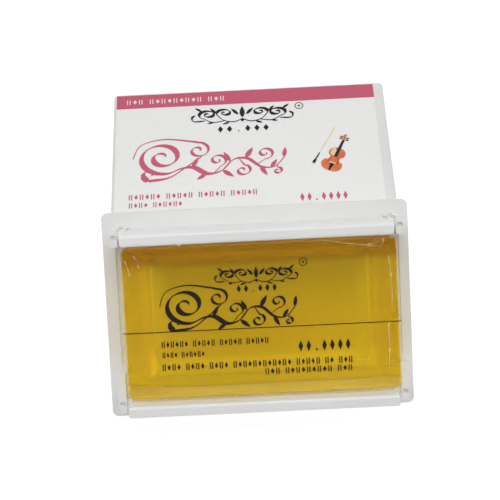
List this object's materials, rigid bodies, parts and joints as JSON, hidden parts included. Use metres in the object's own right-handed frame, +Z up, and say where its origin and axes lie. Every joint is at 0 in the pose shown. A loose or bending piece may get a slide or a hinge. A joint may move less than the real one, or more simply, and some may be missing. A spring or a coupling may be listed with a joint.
{
  "type": "rosin cake",
  "caption": "Boxed rosin cake: a film-wrapped amber block in a white plastic tray with hinged side flaps, leaning on its labelled push-on cover.",
  "frame": {"origin": "middle of the base: centre of the bounding box in X and Y, at the table's surface in Z", "axes": "+X to the right along the cake's length, +Y from the leaning tray back to the cover, +Z up"},
  "size_m": [0.072, 0.0894, 0.0443],
  "materials": {
    "cover_plastic": "white injection-moulded polystyrene, satin",
    "label_paper": "printed self-adhesive paper with a coloured band, ornament and emblem",
    "tray_plastic": "white injection-moulded polystyrene, satin",
    "flap_plastic": "white injection-moulded polystyrene, satin",
    "amber_rosin": "clear golden amber cast resin",
    "clear_film": "thin clear wrapping film with black print"
  },
  "bodies": {
    "cover": {"cover_shell": "cover_plastic", "paper_label": "label_paper"},
    "tray": {"tray_base": "tray_plastic"},
    "upper_flap": {"upper_flap": "flap_plastic"},
    "lower_flap": {"lower_flap": "flap_plastic"},
    "cake": {"rosin_cake": "amber_rosin", "film_wrap": "clear_film"}
  },
  "joints": [
    {"name": "tray_lift", "type": "slide", "parent": "cover", "child": "tray", "axis": [0, -0.6157, 0.788], "range_m": [0, 0.06]},
    {"name": "upper_flap_hinge", "type": "hinge", "parent": "tray", "child": "upper_flap", "pos_m": [0, -0.00683, 0.03506], "axis": [-1, 0, 0], "range_deg": [0, 90]},
    {"name": "lower_flap_hinge", "type": "hinge", "parent": "tray", "child": "lower_flap", "pos_m": [0, -0.03709, 0.01141], "axis": [1, 0, 0], "range_deg": [0, 90]},
    {"name": "cake_lift", "type": "slide", "parent": "tray", "child": "cake", "axis": [0, -0.6157, 0.788], "range_m": [0, 0.04]}
  ]
}
